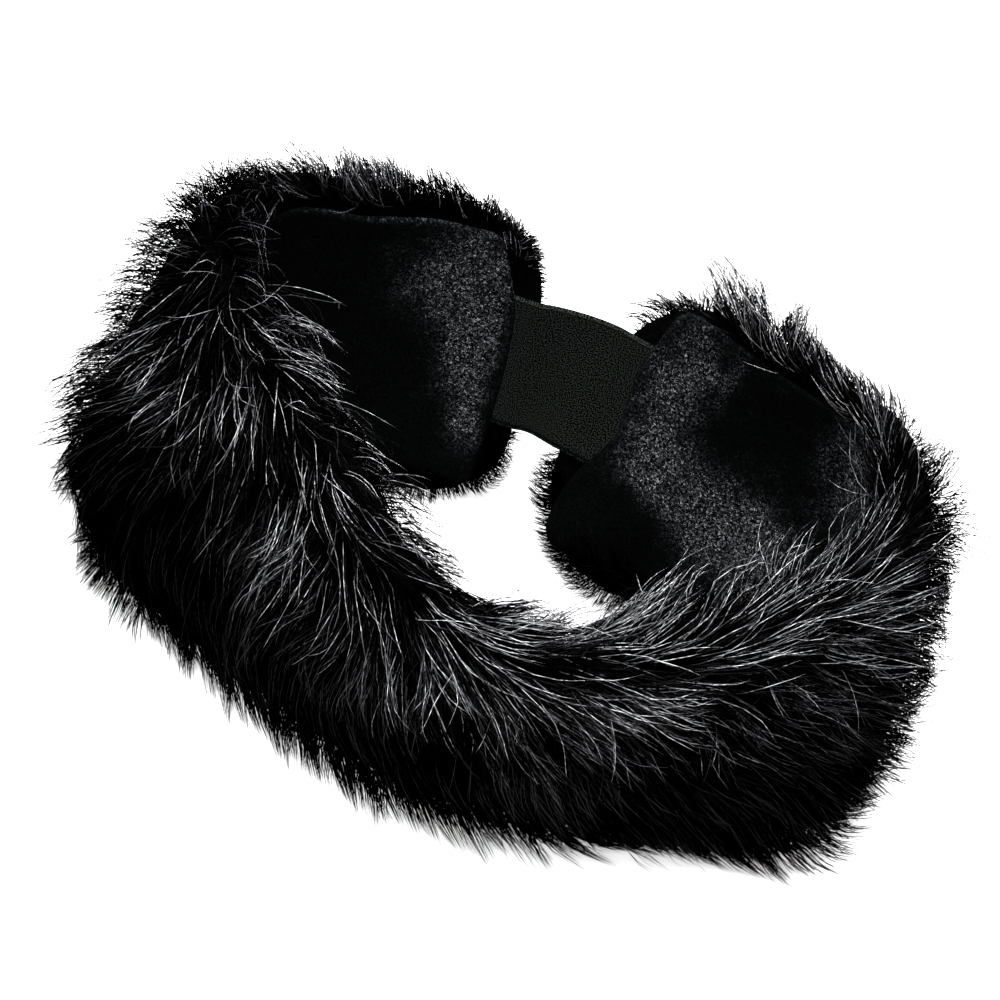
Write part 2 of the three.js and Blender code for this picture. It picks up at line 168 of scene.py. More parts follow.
def skin(along, turn, shrink=0.0):
    """Skin of the fur body. turn is 0 at the upper rim and a quarter turn on the outer face."""
    along, turn = np.broadcast_arrays(along, turn)
    from_end = np.minimum(along, 1 - along) * BAND_LENGTH
    height = wall_height(along)
    over_top = FUR_OVER_TOP + (FUR_OVER_BROW - FUR_OVER_TOP) * np.sin(np.pi * np.clip(along, 0, 1)) ** 2
    corner = np.where(along < 0.5, *FUR_END_CORNERS)
    drawn_in = corner * (1 - round_fall(from_end, corner))
    thin = np.maximum(0.12, round_fall(from_end, FUR_END_ROUND))
    depth = (pile_curve(station(along))[..., 0] + FUR_INSIDE) * thin
    half_up = (height + over_top + FUR_UNDER_FOOT) / 2 - drawn_in - shrink
    centre_up = (height + over_top - FUR_UNDER_FOOT) / 2

    def blunt(v):
        return np.sign(v) * np.abs(v) ** (2 / BODY_SQUARENESS)

    side = blunt(np.sin(turn))
    high = centre_up + half_up * blunt(np.cos(turn))
    past_top = np.clip((high - height) / over_top, 0, 1)
    past_foot = np.clip(-high / FUR_UNDER_FOOT, 0, 1)
    near_foot = np.clip(1 - high / (0.5 * height), 0, 1) ** 2
    inwards = (FUR_TOP_SPREAD * past_top + FUR_FOOT_SPREAD * past_foot) * (1 - side) / 2
    tuck = np.interp(along, TUCK_PLACES, TUCKS) * smooth(1 - (high + FUR_UNDER_FOOT) / TUCK_REACH)
    flare = (FUR_FOOT_FLARE * near_foot - tuck) * np.maximum(0, side)
    out = (ELASTIC_BACK + 0.3 - FUR_INSIDE + depth / 2 + np.maximum(depth / 2 - shrink, 0.25) * side
           + (flare - inwards) * thin)
    point, along_dir = wall(along, high / height, out)
    return point, along_dir, high / height, side


# -------- meshes
def place_in_part(points):
    """Points of the band's plan, in millimetres, as points of the part, in metres."""
    return (points - np.array([*PLAN_MIDDLE, 0.0])) * MM


def clear_selection():
    for o in bpy.context.selected_objects:
        o.select_set(False)


def finish_piece(obj, material):
    obj.data.materials.clear()
    obj.data.materials.append(material)
    obj.data.polygons.foreach_set("use_smooth", np.ones(len(obj.data.polygons), bool))
    obj.data.update()
    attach(obj, "root")
    return obj


def mesh_of(name, points, loops, sizes):
    """Object from points in metres, the corner list of its faces and each face's corner count."""
    mesh = bpy.data.meshes.new(name)
    mesh.vertices.add(len(points))
    mesh.vertices.foreach_set("co", points.astype(np.float32).ravel())
    mesh.loops.add(len(loops))
    mesh.loops.foreach_set("vertex_index", loops.astype(np.int32))
    mesh.polygons.add(len(sizes))
    starts = np.concatenate([[0], np.cumsum(sizes)[:-1]]).astype(np.int32)
    mesh.polygons.foreach_set("loop_start", starts)
    mesh.validate()
    mesh.update(calc_edges=True)
    obj = bpy.data.objects.new(name, mesh)
    bpy.context.scene.collection.objects.link(obj)
    return obj


def drawn_to_ends(share, pull):
    """Even shares moved closer together near 0 and 1."""
    return share - pull * np.sin(2 * np.pi * share) / (2 * np.pi)


def cloth_grid(name, columns, rows, shape, thick):
    """A strip of cloth: a grid laid by shape(column, row) and given its thickness outwards."""
    clear_selection()
    bpy.ops.mesh.primitive_grid_add(x_subdivisions=columns, y_subdivisions=rows, size=1)
    obj = bpy.context.object
    obj.name = obj.data.name = name
    flat = np.zeros(len(obj.data.vertices) * 3, np.float32)
    obj.data.vertices.foreach_get("co", flat)
    flat = flat.reshape(-1, 3).astype(float) + 0.5
    points, marks = shape(flat[:, 0], flat[:, 1])
    obj.data.vertices.foreach_set("co", place_in_part(points).astype(np.float32).ravel())
    for mark, values in marks.items():
        layer = obj.data.attributes.new(mark, "FLOAT", "POINT")
        layer.data.foreach_set("value", values.astype(np.float32))
    wall_of = obj.modifiers.new("thickness", "SOLIDIFY")
    wall_of.thickness = thick * MM
    wall_of.offset = 1
    wall_of.use_even_offset = False
    bpy.ops.object.modifier_apply(modifier=wall_of.name)
    return obj


# -------- materials
def linear(hex_colour):
    """Linear colour of an sRGB hex value."""
    parts = [int(hex_colour[i:i + 2], 16) / 255 for i in (1, 3, 5)]
    return [*(p / 12.92 if p <= 0.04045 else ((p + 0.055) / 1.055) ** 2.4 for p in parts), 1.0]


def add_node(material, kind, links=(), **settings):
    """Adds a node. settings are its properties or, where it has none so named, its inputs. links are
    (input of the new node, source node, output of the source)."""
    node = material.node_tree.nodes.new(kind)
    for key, value in settings.items():
        if hasattr(node, key):
            setattr(node, key, value)
        else:
            node.inputs[key.replace("_", " ")].default_value = value
    for target, source, output in links:
        material.node_tree.links.new(source.outputs[output], node.inputs[target])
    return node


def set_stops(ramp, stops):
    """Puts (place, hex colour) stops on a Color Ramp node."""
    elements = ramp.color_ramp.elements
    while len(elements) < len(stops):
        elements.new(0.5)
    for element, (place, colour) in zip(elements, stops):
        element.position = place
        element.color = linear(colour)


def new_material(name, **shader):
    """Material with one Principled shader, whose inputs are set by name."""
    material = bpy.data.materials.new(name)
    material.use_nodes = True
    bsdf = material.node_tree.nodes["Principled BSDF"]
    for key, value in shader.items():
        bsdf.inputs[key.replace("_", " ")].default_value = value
    return material, bsdf


def link(material, source, output, target, socket):
    material.node_tree.links.new(source.outputs[output], target.inputs[socket])


def strand_material(name, tones, root, roughness, specular):
    """Fibre whose tone is picked strand by strand and which is darkest at its root, a painted shade of
    the pile's depth, with painted glints along it. The strand map holds the strand's own number across
    and its run from root to tip upwards."""
    material, bsdf = new_material(
        name, Roughness=roughness, IOR=1.49, Specular_IOR_Level=specular)
    where = add_node(material, "ShaderNodeUVMap", uv_map="strand")
    parts = add_node(material, "ShaderNodeSeparateXYZ", [("Vector", where, "UV")])
    tone = add_node(material, "ShaderNodeValToRGB", [("Fac", parts, "X")])
    set_stops(tone, tones)
    grow = add_node(material, "ShaderNodeMapRange", [("Value", parts, "Y")],
                    From_Min=0.2, From_Max=0.85)
    # Painted glints: crimps of the fibre catch the light in short glints, a few to each strand, painted
    # into its colour.
    seed = add_node(material, "ShaderNodeMath", [(0, parts, "X")], operation="MULTIPLY")
    seed.inputs[1].default_value = 4000.0
    run = add_node(material, "ShaderNodeMath", [(0, parts, "Y")], operation="MULTIPLY")
    run.inputs[1].default_value = 16.0
    place = add_node(material, "ShaderNodeCombineXYZ", [("X", seed, "Value"), ("Y", run, "Value")])
    crimps = add_node(material, "ShaderNodeTexNoise", [("Vector", place, "Vector")], Scale=1.0,
                      Detail=1.0)
    glint = add_node(material, "ShaderNodeMapRange", [("Value", crimps, "Fac")],
                     From_Min=0.42, From_Max=0.68, To_Min=0.3, To_Max=1.8)
    shown = add_node(material, "ShaderNodeMath", [(0, grow, "Result"), (1, glint, "Result")],
                     operation="MULTIPLY")
    mix = add_node(material, "ShaderNodeMix", [("Factor", shown, "Value")], data_type="RGBA",
                   clamp_factor=False)
    mix.inputs["A"].default_value = linear(root)
    link(material, tone, "Color", mix, "B")
    link(material, mix, "Result", bsdf, "Base Color")
    return material


# Modacrylic guard hair, drawn smooth. Its grey to silver tones are painted highlight: the light its silky
# flanks catch is painted into the colour, strand by strand, more where the pile faces the light.
guard_hair = strand_material(
    "modacrylic_guard_hair_drawn",
    [(0.0, "#010101"), (0.15, "#09090a"), (0.3, "#1c1c1e"), (0.5, "#444549"), (0.75, "#8e8f95"),
     (1.0, "#dedfe3")],
    "#010101", roughness=0.35, specular=0.03)
# The same fibre dyed full black, which makes up the body of the pile; its palest strands carry a little
# painted highlight where the pile faces the light.
overhair = strand_material(
    "modacrylic_overhair_drawn",
    [(0.0, "#000000"), (0.5, "#030303"), (0.8, "#0b0b0c"), (1.0, "#1a1a1c")],
    "#000000", roughness=0.8, specular=0.0)
# Crimped acrylic underfur: finer, matt and black, so that it only fills the depth of the pile.
underfur_hair = strand_material(
    "acrylic_underfur_crimped",
    [(0.0, "#000000"), (0.7, "#010101"), (1.0, "#040404")],
    "#000000", roughness=0.8, specular=0.0)


def backing_material():
    """Knitted backing of the pile cloth under crimped fibre: black, with a felted unevenness."""
    material, bsdf = new_material(
        "acrylic_pile_backing_knitted", Roughness=0.95, Specular_IOR_Level=0.0)
    where = add_node(material, "ShaderNodeTexCoord")
    # Tufts of fibre about 1.2 mm across.
    tufts = add_node(material, "ShaderNodeTexNoise", [("Vector", where, "Object")],
                     Scale=850.0, Detail=4.0, Roughness=0.65)
    colour = add_node(material, "ShaderNodeValToRGB", [("Fac", tufts, "Fac")])
    set_stops(colour, [(0.3, "#010101"), (0.75, "#050505")])
    link(material, colour, "Color", bsdf, "Base Color")
    bump = add_node(material, "ShaderNodeBump", [("Height", tufts, "Fac")], Strength=0.8,
                    Distance=0.0008)
    link(material, bump, "Normal", bsdf, "Normal")
    return material


def plush_material():
    """Polyester velvet plush, warp knitted and sheared: black with a blue-grey bloom painted in where the
    lining faces the light, a painted sheen, and painted shade in its folds, grainy with pile tufts about
    0.5 mm across, drawn as coarse as 0.9 mm to show."""
    material, bsdf = new_material(
        "polyester_velvet_plush_sheared", Roughness=0.85, Specular_IOR_Level=0.0,
        Sheen_Weight=0.004, Sheen_Roughness=0.4, Sheen_Tint=linear("#a8aeb8"))
    where = add_node(material, "ShaderNodeTexCoord")
    painted_light = add_node(material, "ShaderNodeAttribute", attribute_name="painted_light")
    grain = add_node(material, "ShaderNodeTexNoise", [("Vector", where, "Object")],
                     Scale=1300.0, Detail=3.0, Roughness=0.7, Distortion=1.0)
    patches = add_node(material, "ShaderNodeTexNoise", [("Vector", where, "Object")],
                       Scale=130.0, Detail=4.0, Roughness=0.6)
    # The painted sheen and shade, with slow random patches of the nap, set how light the plush is
    # painted.
    drift = add_node(material, "ShaderNodeMath", [(0, patches, "Fac")], operation="SUBTRACT")
    drift.inputs[1].default_value = 0.5
    painted_light_and_nap = add_node(material, "ShaderNodeMath", [(0, painted_light, "Fac"), (1, drift, "Value")],
                    operation="ADD")
    stand = add_node(material, "ShaderNodeMapRange", [("Value", painted_light_and_nap, "Value")],
                     From_Min=0.1, From_Max=0.85, To_Min=0.26)
    glint = add_node(material, "ShaderNodeMapRange", [("Value", grain, "Fac")],
                     From_Min=0.38, From_Max=0.67)
    lit = add_node(material, "ShaderNodeMath", [(0, stand, "Result"), (1, glint, "Result")],
                   operation="MULTIPLY")
    colour = add_node(material, "ShaderNodeValToRGB", [("Fac", lit, "Value")])
    set_stops(colour, [(0.0, "#010101"), (0.28, "#060707"), (0.5, "#151618"), (0.75, "#424447"),
                       (1.0, "#8c8f93")])
    link(material, colour, "Color", bsdf, "Base Color")
    bump = add_node(material, "ShaderNodeBump", [("Height", grain, "Fac")], Strength=0.6,
                    Distance=0.0005)
    link(material, bump, "Normal", bsdf, "Normal")
    return material


def webbing_material():
    """Woven elastic, polyester yarn over rubber: matt black with a green cast, a fine grain of threads
    about 0.3 mm apart, and a thin firm selvage at both edges, painted lighter as a painted highlight,
    with a darker line just inside each."""
    material, bsdf = new_material(
        "polyester_elastic_webbing_woven", Roughness=0.9, Specular_IOR_Level=0.0)
    length = add_node(material, "ShaderNodeAttribute", attribute_name="length_mm")
    width = add_node(material, "ShaderNodeAttribute", attribute_name="width_mm")
    place = add_node(material, "ShaderNodeCombineXYZ", [("X", length, "Fac"), ("Y", width, "Fac")])
    weave = add_node(material, "ShaderNodeTexNoise", [("Vector", place, "Vector")], Scale=2.6,
                     Detail=0.0)
    colour = add_node(material, "ShaderNodeValToRGB", [("Fac", weave, "Fac")])
    set_stops(colour, [(0.43, "#000000"), (0.5, "#0e110f"), (0.57, "#2e322f")])
    # Painted highlight on the selvage at both edges, with a darker line just inside each.
    across = add_node(material, "ShaderNodeMapRange", [("Value", width, "Fac")],
                      From_Max=ELASTIC_HIGH - ELASTIC_LOW)
    edge = add_node(material, "ShaderNodeValToRGB", [("Fac", across, "Result")])
    set_stops(edge, [(0.0, "#e8e8e8"), (0.012, "#e0e0e0"), (0.022, "#101010"), (0.036, "#b0b0b0"),
                     (0.964, "#b0b0b0"), (0.976, "#101010"), (0.986, "#e0e0e0"), (1.0, "#e8e8e8")])
    tint = add_node(material, "ShaderNodeMix", [("Factor", edge, "Color")], data_type="RGBA")
    tint.inputs["A"].default_value = linear("#000000")
    link(material, colour, "Color", tint, "B")
    link(material, tint, "Result", bsdf, "Base Color")
    bump = add_node(material, "ShaderNodeBump", [("Height", weave, "Fac")], Strength=0.3,
                    Distance=0.0003)
    link(material, bump, "Normal", bsdf, "Normal")
    return material


# -------- lining
# Painted sheen and shade on the plush: where it faces the light and is painted light, and, with a share
# below nothing, where it lies in shade and is painted dark: place along and up, reach along and up in mm,
# share.
PAINTED_LIGHT = [
    (0.042, 0.78, 19, 28, 0.88), (0.033, 0.42, 12, 20, 0.75), (0.026, 0.2, 8, 10, 0.5),
    (0.012, 0.5, 5, 50, -0.25), (0.088, 0.78, 13, 20, 0.36), (0.12, 1.0, 28, 2.2, 0.5),
    (0.15, 0.85, 14, 12, 0.1), (0.956, 0.75, 15, 32, 0.72), (0.927, 0.92, 3, 14, 0.35),
    (0.905, 0.38, 34, 16, 0.75), (0.875, 0.6, 55, 55, 0.12), (0.868, 0.2, 18, 22, 0.5),
    (0.835, 0.85, 13, 24, 0.7), (0.945, 0.2, 12, 10, -0.5),
]
LINING_ROLL = 2.4  # reach of the edge's roll
LINING_ROLL_DEPTH = 1.1


def inset_of(end, row):
    """How far an end of the lining lies from the fur's end, at shares of its height."""
    return curve(np.array(end[0], float)[:, None])(row)[..., 0]


def rounded_inset(end, row, height):
    """The same with the lining's corners rounded."""
    radius = np.where(row > 0.5, *end[1:])
    past = np.maximum(0, radius - np.minimum(row, 1 - row) * height)
    return inset_of(end, row) + radius - np.sqrt(radius * radius - past * past)


def lining_shape(column, row):
    height = wall_height(np.array(0.5))
    row = drawn_to_ends(row, 0.75)
    share = drawn_to_ends(column, 0.7)
    first = rounded_inset(LINING_LEFT_END, row, height) / BAND_LENGTH
    last = 1 - rounded_inset(LINING_RIGHT_END, row, height) / BAND_LENGTH
    along = first + share * (last - first)
    to_edge = np.minimum(np.minimum(row, 1 - row) * height, np.minimum(share, 1 - share) * BAND_LENGTH)
    roll = LINING_ROLL_DEPTH * (1 - round_fall(to_edge, LINING_ROLL))
    ripple = 0.35 * np.sin(along * 61 + 3 * row) * np.sin(row * 9 + along * 23) * smooth(to_edge / 12)
    points, _ = wall(along, row, roll + ripple)
    # Painted sheen and shade, kept on the plush for its colour.
    painted_light = 0
    for a, u, reach_along, reach_up, amount in PAINTED_LIGHT:
        away = ((along - a) * BAND_LENGTH / reach_along) ** 2 + ((row - u) * height / reach_up) ** 2
        painted_light = painted_light + amount * np.exp(-away ** 1.6)
    return points, {"painted_light": painted_light}


lining = cloth_grid("plush_lining", 220, 44, lining_shape, LINING_THICK - 0.4)
finish_piece(lining, plush_material())
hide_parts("lining")


# -------- elastic
def elastic_shape(column, row):
    height = LINING_TOP - LINING_FOOT
    left, right = wall(np.array([0.0, 1.0]), np.array([0.5, 0.5]), np.array([3.0, 3.0]))[0]
    gap = np.linalg.norm(right - left)
    whole = gap + 2 * ELASTIC_TUCK
    run = column * whole
    across = np.clip((run - ELASTIC_TUCK) / gap, 0, 1)
    low = (ELASTIC_LOW - LINING_FOOT) / height
    high = (ELASTIC_HIGH - LINING_FOOT) / height
    up = low + (high - low) * row + across * ELASTIC_SKEW / height
    along = np.where(run < ELASTIC_TUCK, (ELASTIC_TUCK - run) / BAND_LENGTH,
                     1 - np.clip(run - ELASTIC_TUCK - gap, 0, None) / BAND_LENGTH)
    out = np.full_like(up, ELASTIC_FACE)
    tucked = wall(along, up, out)[0]
    (first, first_dir), (last, last_dir) = wall(0 * up, up, out), wall(0 * up + 1, up, out)
    # Between the ends it bows, and leaves the one and meets the other in line with the wall.
    s = across[:, None]
    free = first + (last - first) * s * s * (3 - 2 * s)
    free = free - gap * (first_dir * s * (1 - s) ** 2 - last_dir * s * s * (1 - s))
    free[:, 1] += ELASTIC_SAG * 4 * across * (1 - across)
    inside = (run > ELASTIC_TUCK) & (run < ELASTIC_TUCK + gap)
    width = row * (ELASTIC_HIGH - ELASTIC_LOW)
    return np.where(inside[:, None], free, tucked), {"length_mm": run, "width_mm": width}


elastic = cloth_grid("woven_elastic", 90, 20, elastic_shape, ELASTIC_THICK)
finish_piece(elastic, webbing_material())
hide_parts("elastic")

# -------- the fur's skin as a table
BEYOND = 24.0  # how far the table runs on past the band's ends
PITCH = 2.0  # its steps along the band, about
ROUND = 128  # its steps round the section, which starts at the upper rim
ROUND_FINE = 720  # the finer steps that those are measured out on
RING = 250.0  # about the length round the section, which turns shares of it into lengths
INWARDS = -0.4  # below this side the skin faces the head


def skin_table():
    """Tables of places along the band and shares round its section: point, normal, direction along
    the band, length round the section, and where on the wall it lies."""
    inner = np.linspace(0, BAND_LENGTH, round(BAND_LENGTH / PITCH) + 1)
    extra = np.arange(PITCH, BEYOND + PITCH / 2, PITCH)
    places = np.concatenate([-extra[::-1], inner, BAND_LENGTH + extra])
    along = np.clip(places / BAND_LENGTH, 0, 1)[:, None]
    turns = np.linspace(0, 2 * np.pi, ROUND_FINE + 1)[None, :]
    point, along_dir, up, side = skin(along, turns)
    past = places - np.clip(places, 0, BAND_LENGTH)
    point = point + along_dir * past[:, None, None]
    step = np.linalg.norm(np.diff(point, axis=1), axis=2)
    ring = np.concatenate([np.zeros((len(places), 1)), np.cumsum(step, axis=1)], axis=1)
    shares = np.arange(ROUND) / ROUND

    def spaced(values):
        out = np.empty((len(places), ROUND, values.shape[2]))
        for i in range(len(places)):
            for c in range(values.shape[2]):
                out[i, :, c] = np.interp(shares * ring[i, -1], ring[i], values[i, :, c])
        return out

    point, along_dir = spaced(point), unit(spaced(along_dir))
    up, side = spaced(up[..., None])[..., 0], spaced(side[..., None])[..., 0]
    d_along = np.gradient(point, axis=0)
    d_round = np.roll(point, -1, axis=1) - np.roll(point, 1, axis=1)
    normal = unit(np.cross(d_along, d_round)) * -1
    normal = unit(sum(np.roll(normal, k, axis=1) for k in (-2, -1, 0, 1, 2)))
    return places, point, normal, along_dir, ring[:, -1], up, side


places, points, normals, alongs, rings, ups, sides = skin_table()
STEP = (places[-1] - places[0]) / (len(places) - 1)
heights_mm = points[..., 2]
shares_along = places[:, None] / BAND_LENGTH
from_end = np.minimum(places, BAND_LENGTH - places)[:, None]
rounds = np.arange(ROUND) / ROUND


def from_rim(share):
    """Share round the section counted from the upper rim: up to 0.5 outside, down to -0.5 inside."""
    return (share + 0.5) % 1 - 0.5


def waves(u, v, long, seed):
    """Slow uneven waves over the skin, from -1 to 1, for places in millimetres and a wave length."""
    turn = np.random.default_rng(seed).uniform(0, 2 * np.pi, (5, 2))
    total = 0
    for k, (heading, phase) in enumerate(turn):
        size = 2 * np.pi / (long * (0.75 + 0.2 * k))
        total = total + np.sin(size * (u * np.cos(heading) + v * np.sin(heading)) + phase)
    return total / 2.6


# -------- the nap
# Heading of the nap, in degrees from the run of the band towards the outer face and on round the
# lower rim, at places along the band (first column) and shares round its section. The pile parts along
# the upper rim: over the hollow it leans inwards, and on the outer face it falls away steeply. At the
# left temple it fans out to all sides, and towards the right temple it sweeps along the band.
NAP_ROUND = [0.0, 0.02, 0.05, 0.1, 0.16, 0.24, 0.36, 0.45]
NAP = [
    (0.08, 74, 76, 76, 74, 70, 66, 64, 66),
    (0.17, 60, 90, 105, 110, 105, 100, 100, 90),
    (0.21, -20, 100, 120, 118, 112, 110, 110, 95),
    (0.25, -30, 60, 98, 104, 108, 110, 100, 84),
    (0.28, -22, 8, 42, 66, 95, 98, 76, 64),
    (0.34, -38, -12, 6, 42, 62, 80, 56, 48),
    (0.38, -33, -10, 12, 58, 84, 80, 50, 44),
    (0.41, -28, -3, 34, 82, 98, 92, 50, 50),
    (0.44, -10, 8, 42, 85, 92, 80, 60, 54),
    (0.50, 0, 18, 36, 58, 64, 60, 54, 50),
    (0.56, -10, 5, 26, 44, 50, 52, 50, 48),
    (0.64, -18, -16, -6, 27, 36, 42, 46, 46),
    (0.70, -10, 4, 6, 32, 32, 28, 45, 54),
    (0.76, 2, 16, 30, 46, 50, 48, 50, 55),
    (0.82, 30, 40, 46, 52, 55, 58, 62, 66),
    (0.92, 66, 68, 68, 66, 64, 62, 64, 66),
]
# On the inner face it runs round the foot and up to the upper rim again: share round, heading, how
# much of the upper rim's heading it adds, and how far it turns inwards over the brow.
NAP_INSIDE = [
    (0.56, 72, 0, 0), (0.66, 20, 0, 0), (0.78, 0, 0, 0), (0.92, -25, 1, 15), (0.97, -12, 1, 20),
    (1.0, 0, 1, 0),
]
NAP_WAVER, NAP_WAVE = 8.0, 50.0  # unevenness of the heading, in degrees, and its wave length
BROW, BROW_REACH = 0.49, 0.16  # where the pile leans over the hollow the furthest
SPLAY = 18.0  # how far from an end the pile turns to stand out past it
SPLAY_LEFT, SPLAY_RIGHT = 1.0, 0.7  # and how much of it does

# Where the pile stands off the skin: place along and share round, reach of each, and how far in mm.
PUFFS = [
    (0.41, 0.95, 0.07, 0.08, 6), (0.5, 0.95, 0.05, 0.08, 1), (0.6, 0.95, 0.045, 0.08, 9.5),
    (0.2, 0.12, 0.04, 0.12, 2), (0.262, 0.26, 0.025, 0.12, 5), (0.785, 0.16, 0.035, 0.14, 4),
    (0.93, 0.02, 0.04, 0.05, 2.5),
]
CLEAR_OF_SKIN, CLEAR_OF_LINING = 0.15, 3.3  # how far off the skin, and off it over the lining, it lies


def nap_table():
    rows = np.array(NAP, float)
    at_top = rows[:, 1:2]
    brow = np.exp(-((rows[:, 0:1] - BROW) / BROW_REACH) ** 4)
    inside = [heading + part * at_top - turn * brow for _, heading, part, turn in NAP_INSIDE]
    knots = np.array([np.interp(places / BAND_LENGTH, rows[:, 0], column)
                      for column in np.hstack([rows[:, 1:], *inside]).T])
    shares = NAP_ROUND + [row[0] for row in NAP_INSIDE]
    heading = np.array([np.interp(rounds, shares, column) for column in knots.T])
    heading = heading + NAP_WAVER * waves(places[:, None], rounds[None, :] * RING, NAP_WAVE, 3)
    heading = np.radians(heading)[..., None]
    across = unit(np.cross(alongs, normals))
    onwards = np.cross(normals, across)
    nap = onwards * np.cos(heading) + across * np.sin(heading)
    past_left = SPLAY_LEFT * smooth(1 - places / SPLAY)[:, None, None]
    past_right = SPLAY_RIGHT * smooth(1 - (BAND_LENGTH - places) / SPLAY)[:, None, None]
    nap = nap * (1 - past_left) - alongs * past_left
    return nap * (1 - past_right) + alongs * past_right


def puffed(along, share):
    return sum(height * np.exp(-((along - a) / reach_a) ** 2 - ((share - q) / reach_q) ** 2)
               for a, q, reach_a, reach_q, height in PUFFS)


over_lining = (sides < INWARDS) & (ups > 0.0) & (ups < 1.0)
keeps = np.where(over_lining, CLEAR_OF_LINING, CLEAR_OF_SKIN) + puffed(shares_along, rounds)
table = np.concatenate([
    points, normals, nap_table(), alongs,
    np.broadcast_to(rings[:, None, None], (len(places), ROUND, 1)), keeps[..., None]], axis=2)


def read(u, q):
    """The table at places u along the band and shares q round it: point, normal, nap, direction along
    the band, length round the section, and how far off the skin the pile lies."""
    x = np.clip((u + BEYOND) / STEP, 0, len(places) - 1.001)
    i = x.astype(int)
    f = (x - i)[:, None]
    y = (q % 1) * ROUND
    j = np.minimum(y.astype(int), ROUND - 1)
    g = (y - j)[:, None]
    k = (j + 1) % ROUND
    row = ((table[i, j] * (1 - g) + table[i, k] * g) * (1 - f)
           + (table[i + 1, j] * (1 - g) + table[i + 1, k] * g) * f)
    return row[:, 0:3], unit(row[:, 3:6]), row[:, 6:9], unit(row[:, 9:12]), row[:, 12], row[:, 13]


# -------- one hair
ROOT_DEPTH = 1.6
HAIR_STEPS = 10
STRAIGHTEN = 1.3  # how soon a hair bends over from its first lean
FOLLOW = 0.75  # share of the way to the nearest skin that is gone at each look at the table
# Below this height hair that falls turns outwards, along the floor.
SPREAD_HEIGHT, FLOOR_PUSH, FLOOR_CLEAR = 11.0, 0.8, 0.3
UPRIGHT, LEVEL = np.array([0.0, 0.0, 1.0]), np.array([1.0, 1.0, 0.0])


def comb(u, q, turn, length, rise, firm, stand):
    """Grows hairs from their roots. Each leans from its root at the angle rise, turned from the nap
    by turn, then bends over along it as far as its firmness lets it, but for the share it stands,
    and stays clear of the skin and the floor. Gives each hair's points from root to tip."""
    u, q = u.copy(), q.copy()
    skin_point, normal, nap, along, ring, keep = read(u, q)
    point = skin_point - normal * ROOT_DEPTH
    heading = None
    trail = [point]
    pace = (length / HAIR_STEPS)[:, None]
    for k in range(HAIR_STEPS):
        lean = (rise * (stand + (1 - stand) * (1 - k / HAIR_STEPS) ** STRAIGHTEN))[:, None]
        lie = unit(nap * np.cos(turn)[:, None] + np.cross(normal, nap) * np.sin(turn)[:, None]
                   + normal * 0.02)
        want = lie * np.cos(lean) + normal * np.sin(lean)
        heading = want if heading is None else unit(heading * firm + want * (1 - firm))
        fall = np.minimum(heading[:, 2], 0) * (1 - smooth((point[:, 2] - 0.5) / SPREAD_HEIGHT))
        heading = unit(heading - fall[:, None] * UPRIGHT + FLOOR_PUSH * fall[:, None] * -normal * LEVEL)
        point = point + heading * pace
        for _ in range(2):
            off = point - skin_point
            across = np.cross(along, normal)
            u = u + FOLLOW * (off * along).sum(1)
            q = q + FOLLOW * (off * across).sum(1) / ring
            skin_point, normal, nap, along, ring, keep = read(u, q)
        height = ((point - skin_point) * normal).sum(1)
        point = point + normal * np.maximum(0, keep * min(1, (k + 1) / 2) - height)[:, None]
        point[:, 2] = np.maximum(point[:, 2], FLOOR_CLEAR)
        trail.append(point)
    return np.stack(trail, axis=1)


# -------- where the pile grows
ELASTIC_ROOM = (6.0, 11.0)  # bare skin below and above the elastic's ends
ELASTIC_SIDE = 0.45  # and it reaches round the ends as far as this side
LINED_FROM, LINED_TO = 0.01, 0.995  # the lining covers these shares of the wall's height
PRESSED_FACING, PRESSED_HEIGHT = -0.85, 1.5  # the band stands where the skin faces down this low
PRESSED_SHARE = 0.4  # share of the pile left there
# Patches of pile with a way of their own: place along and share from the upper rim, reach of each.
# The crown of the left temple, where the pile parts to all sides and is a thick short fuzz:
TEMPLE = (0.215, 0.005, 0.05, 0.045)
# and the ridge over the brow, where the pile parts and lies thick, and its hairs carry more painted
# highlight.
PARTING = (0.545, 0.0, 0.075, 0.05)


def patch(along, share, centre_along, centre_share, reach_along, reach_share):
    """Rises smoothly to 1 at the centre of a patch and is next to nothing past its reach."""
    return np.exp(-((along - centre_along) / reach_along) ** 2
                  - ((from_rim(share) - centre_share) / reach_share) ** 2)


def inner_foot(share):
    """Where the pile hangs on the inner side of the band's foot."""
    return (share > 0.5) & (share < 0.75)


def thicker():
    """Where the pile is seen edge on or parts, it grows thicker: by how much, and where on the table."""
    along, share = shares_along, rounds
    return [
        (1.6, 1 - smooth(from_end / 26)),  # the ends
        (1.6, (1 - smooth((from_end - 60) / 30)) * np.exp(-(from_rim(share) / 0.08) ** 2)),  # flaps' tops
        (2.2, patch(along, share, *TEMPLE)),
        (2.0, inner_foot(share) * smooth(2 - from_end / 45)),  # the flaps' feet
        (1.2, np.exp(-((along - 0.5) / 0.16) ** 4 - ((share - 0.94) / 0.07) ** 2)),  # the brow's rim
        (1.8, patch(along, share, *PARTING)),
        (1.3, np.exp(-((share - 0.45) / 0.05) ** 2)),  # the lower edge
    ]


